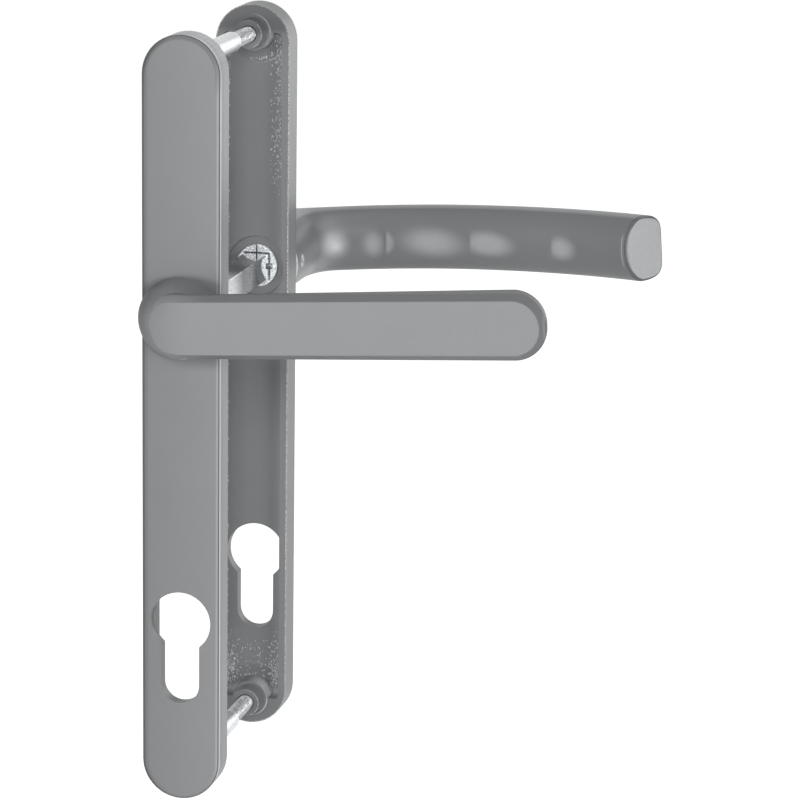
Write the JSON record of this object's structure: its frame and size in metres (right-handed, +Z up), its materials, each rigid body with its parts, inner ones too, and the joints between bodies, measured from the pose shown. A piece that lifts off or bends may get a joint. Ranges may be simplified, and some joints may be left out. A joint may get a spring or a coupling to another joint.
{
  "type": "lever door handle set",
  "caption": "Lever door handle set for a narrow-stile door: two long backplates with cylinder cut-outs, a flat outer lever and an arched inner lever on one square spindle.",
  "frame": {"origin": "on the spindle axis, in the outer door face", "axes": "+X along the levers towards their free ends, +Y through the door from the outer unit to the inner unit, +Z up"},
  "size_m": [0.1356, 0.163, 0.2288],
  "materials": {
    "grey_paint": "satin grey powder coat",
    "cast_grey": "glossier cast skin on the hollow side",
    "bright_steel": "bright zinc plated",
    "spring_steel": "dark spring steel",
    "black_nylon": "matte",
    "light_ring": "smooth"
  },
  "bodies": {
    "plates": {"outer_backplate": "grey_paint", "inner_backplate": "cast_grey", "outer_bearing_ring": "light_ring", "inner_bearing_ring": "light_ring", "outer_bush": "black_nylon", "inner_bush": "black_nylon", "upper_sleeve": "bright_steel", "lower_sleeve": "bright_steel", "upper_screw": "bright_steel", "lower_screw": "bright_steel"},
    "outer_handle": {"outer_lever": "grey_paint", "outer_hub": "bright_steel", "outer_retaining_ring": "spring_steel", "outer_wave_washer": "spring_steel", "spindle": "bright_steel", "outer_spindle_pin": "spring_steel"},
    "inner_handle": {"inner_lever": "grey_paint", "inner_hub": "bright_steel", "inner_retaining_ring": "spring_steel", "inner_wave_washer": "spring_steel", "inner_grub_screw": "bright_steel"}
  },
  "joints": [
    {"name": "outer_lever_turn", "type": "hinge", "parent": "plates", "child": "outer_handle", "pos_m": [0, -0.008, 0], "axis": [0, 1, 0], "range_deg": [-40, 45]},
    {"name": "inner_lever_turn", "type": "hinge", "parent": "plates", "child": "inner_handle", "pos_m": [0, 0.076, 0], "axis": [0, 1, 0], "range_deg": [-40, 45]}
  ],
  "couplings": [
    {"joint": "outer_lever_turn", "follows": "inner_lever_turn", "ratio": 1}
  ]
}
